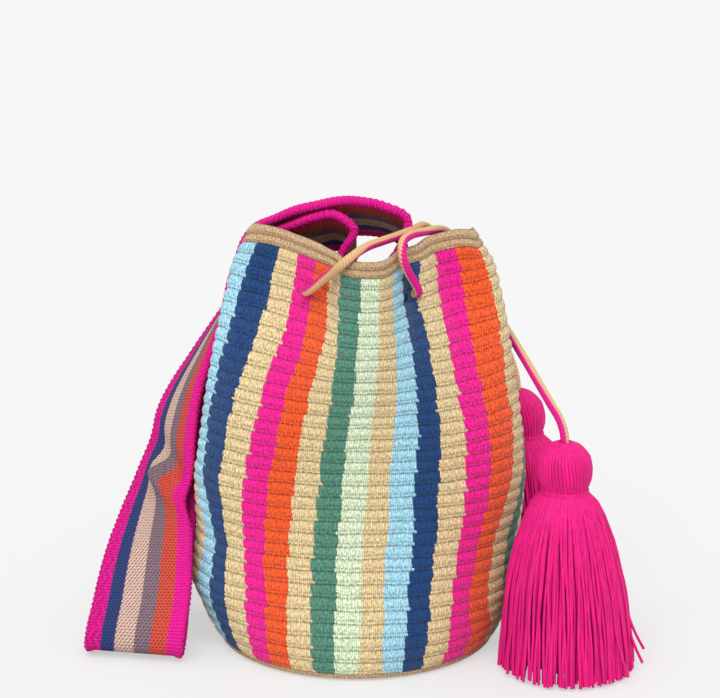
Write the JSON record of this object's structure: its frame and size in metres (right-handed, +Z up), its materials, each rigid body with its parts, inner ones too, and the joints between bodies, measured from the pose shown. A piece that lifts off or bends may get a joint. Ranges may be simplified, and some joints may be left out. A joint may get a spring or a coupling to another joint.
{
  "type": "wayuu mochila bag",
  "caption": "Crocheted bucket bag with coloured stripes, a woven shoulder strap, and a gathering cord that ends in yarn tassels.",
  "frame": {"origin": "middle of the round base, on the surface that the bag stands on", "axes": "+Z up out of the mouth, -Y towards the front with the gathered mouth, +X towards the side with the tassels"},
  "size_m": [0.4092, 0.233, 0.3454],
  "materials": {
    "crocheted_cotton": "matte crocheted cotton with colour stripes",
    "woven_cotton_band": "matte woven cotton band with lengthwise stripes",
    "braided_cotton_cord": "two-colour round braid",
    "tassel_yarn": "soft loose yarn"
  },
  "bodies": {
    "root": {"bag_body": "crocheted_cotton", "strap": "woven_cotton_band", "drawstring": "braided_cotton_cord", "front_tassel": "tassel_yarn", "front_tassel_binding": "tassel_yarn", "back_tassel": "tassel_yarn", "back_tassel_binding": "tassel_yarn"}
  },
  "joints": []
}
